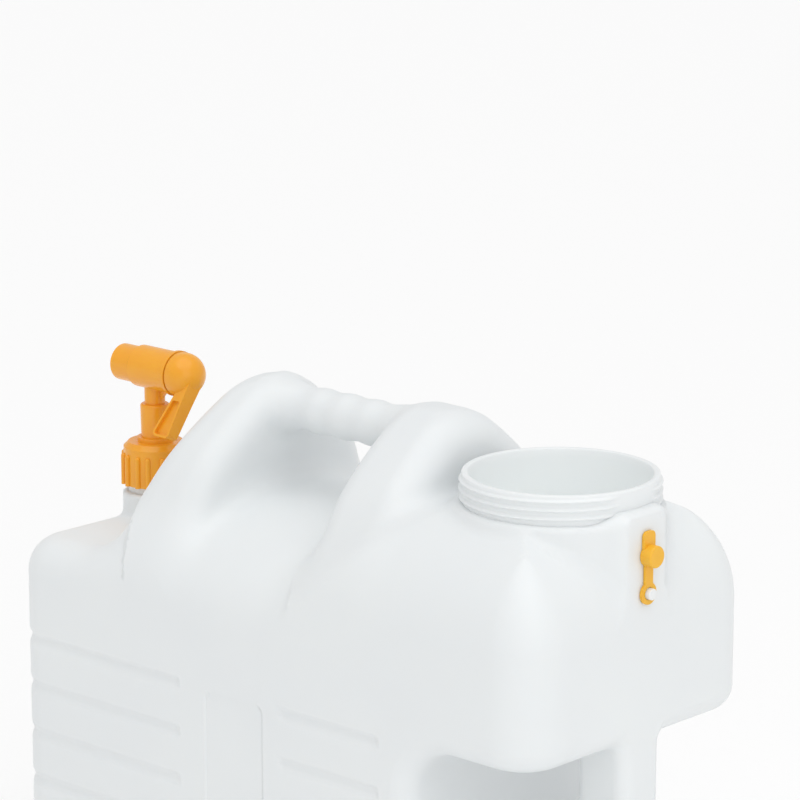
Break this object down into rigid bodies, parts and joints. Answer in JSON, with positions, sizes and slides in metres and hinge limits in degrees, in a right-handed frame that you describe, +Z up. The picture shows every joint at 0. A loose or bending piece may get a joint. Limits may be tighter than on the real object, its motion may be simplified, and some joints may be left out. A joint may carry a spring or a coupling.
{
  "type": "carboy with spigot",
  "caption": "Tall rectangular plastic water carboy with a wide screw neck, a waved top handle, an upright end grip, a turning tap and a vent stopper.",
  "frame": {"origin": "centre of the base face, on the mould's parting plane", "axes": "+Z up from the base, +X along the bottle towards the end with the wide neck, -X towards the tap"},
  "size_m": [0.4358, 0.2, 0.397],
  "materials": {
    "natural_polyethylene": "translucent satin",
    "orange_polypropylene": "satin gloss",
    "amber_soft_plastic": "satin",
    "grey_rubber": "matte",
    "black_rubber": "matte"
  },
  "bodies": {
    "bottle": {"bottle_near": "natural_polyethylene", "bottle_far": "natural_polyethylene", "spigot_nut": "orange_polypropylene", "nut_gasket": "grey_rubber", "spigot_body": "orange_polypropylene"},
    "plug": {"spigot_plug": "orange_polypropylene", "plug_seal_inner": "black_rubber", "plug_seal_outer": "black_rubber"},
    "vent": {"vent_stopper": "amber_soft_plastic"}
  },
  "joints": [
    {"name": "tap_turn", "type": "hinge", "parent": "bottle", "child": "plug", "pos_m": [-0.1858, 0, 0.3818], "axis": [1, 0, 0], "range_deg": [0, 90]},
    {"name": "vent_pull", "type": "slide", "parent": "bottle", "child": "vent", "axis": [1, 0, 0], "range_m": [0, 0.0045]}
  ]
}
